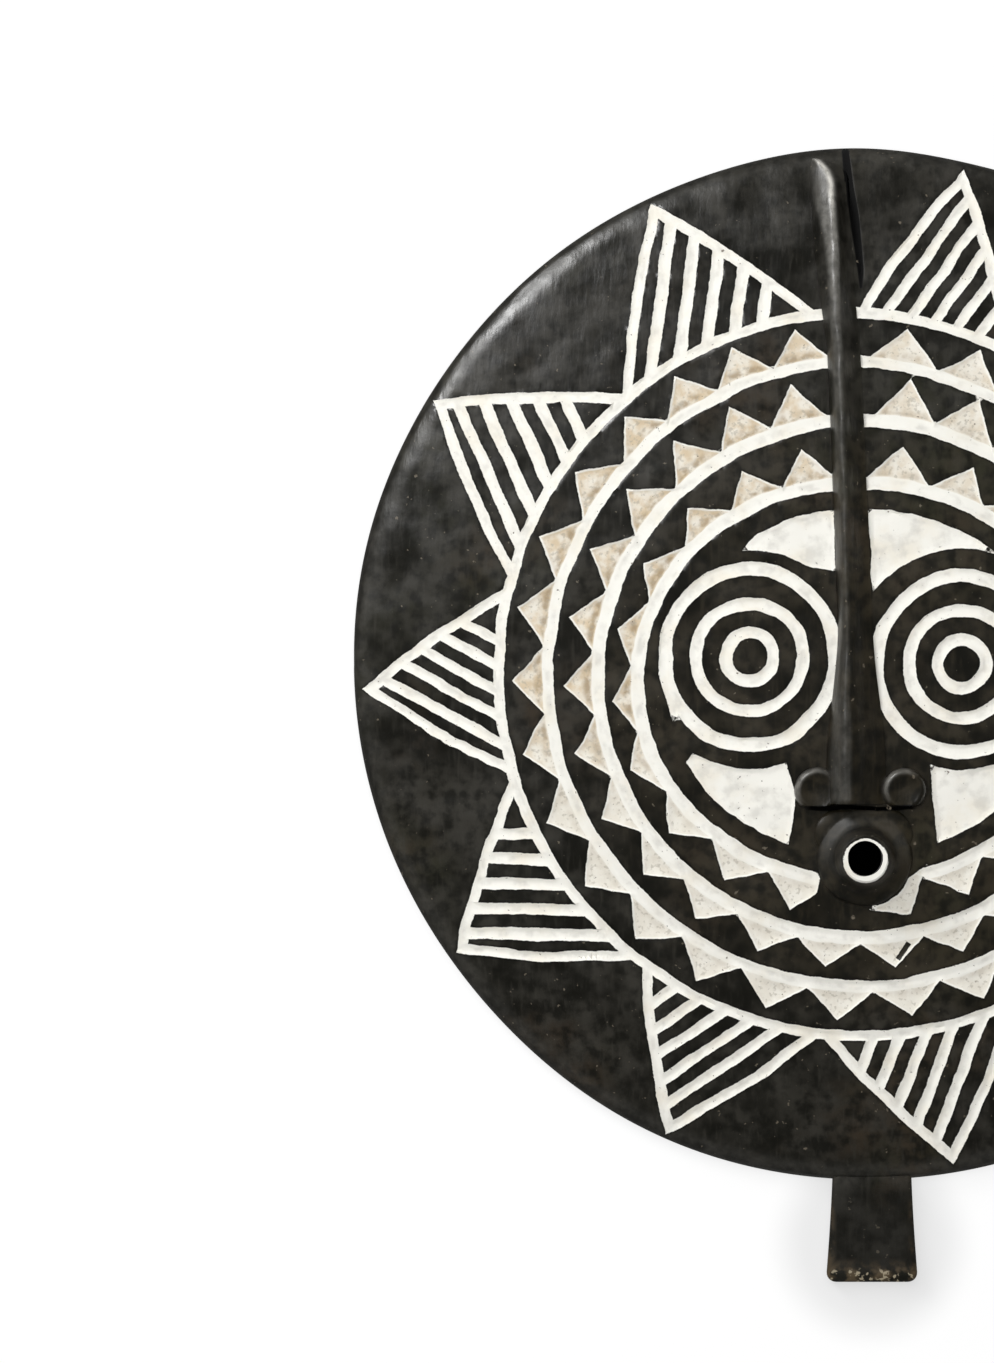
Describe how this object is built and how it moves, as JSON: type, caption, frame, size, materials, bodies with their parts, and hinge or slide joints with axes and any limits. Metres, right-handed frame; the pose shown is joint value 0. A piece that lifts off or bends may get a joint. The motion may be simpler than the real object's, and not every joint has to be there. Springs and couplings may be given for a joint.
{
  "type": "sun mask",
  "caption": "Round carved wooden mask with sun rays, sawtooth rings and ringed eyes sunk in its domed face, a long nose ridge, a pierced cone mouth, a hollow back and a short handle.",
  "frame": {"origin": "on the surface the mask lies on, under the middle of its outline (disc and handle together)", "axes": "+Z out of the face, +Y to the top of the mask, +X to the right as seen looking at the face; the mask lies on its flat back"},
  "size_m": [0.5002, 0.553, 0.0736],
  "materials": {
    "carved_wood": "blackened wood with a worn satin sheen; the sunk carving is filled with chalky off-white pigment"
  },
  "bodies": {
    "root": {"mask": "carved_wood"}
  },
  "joints": []
}
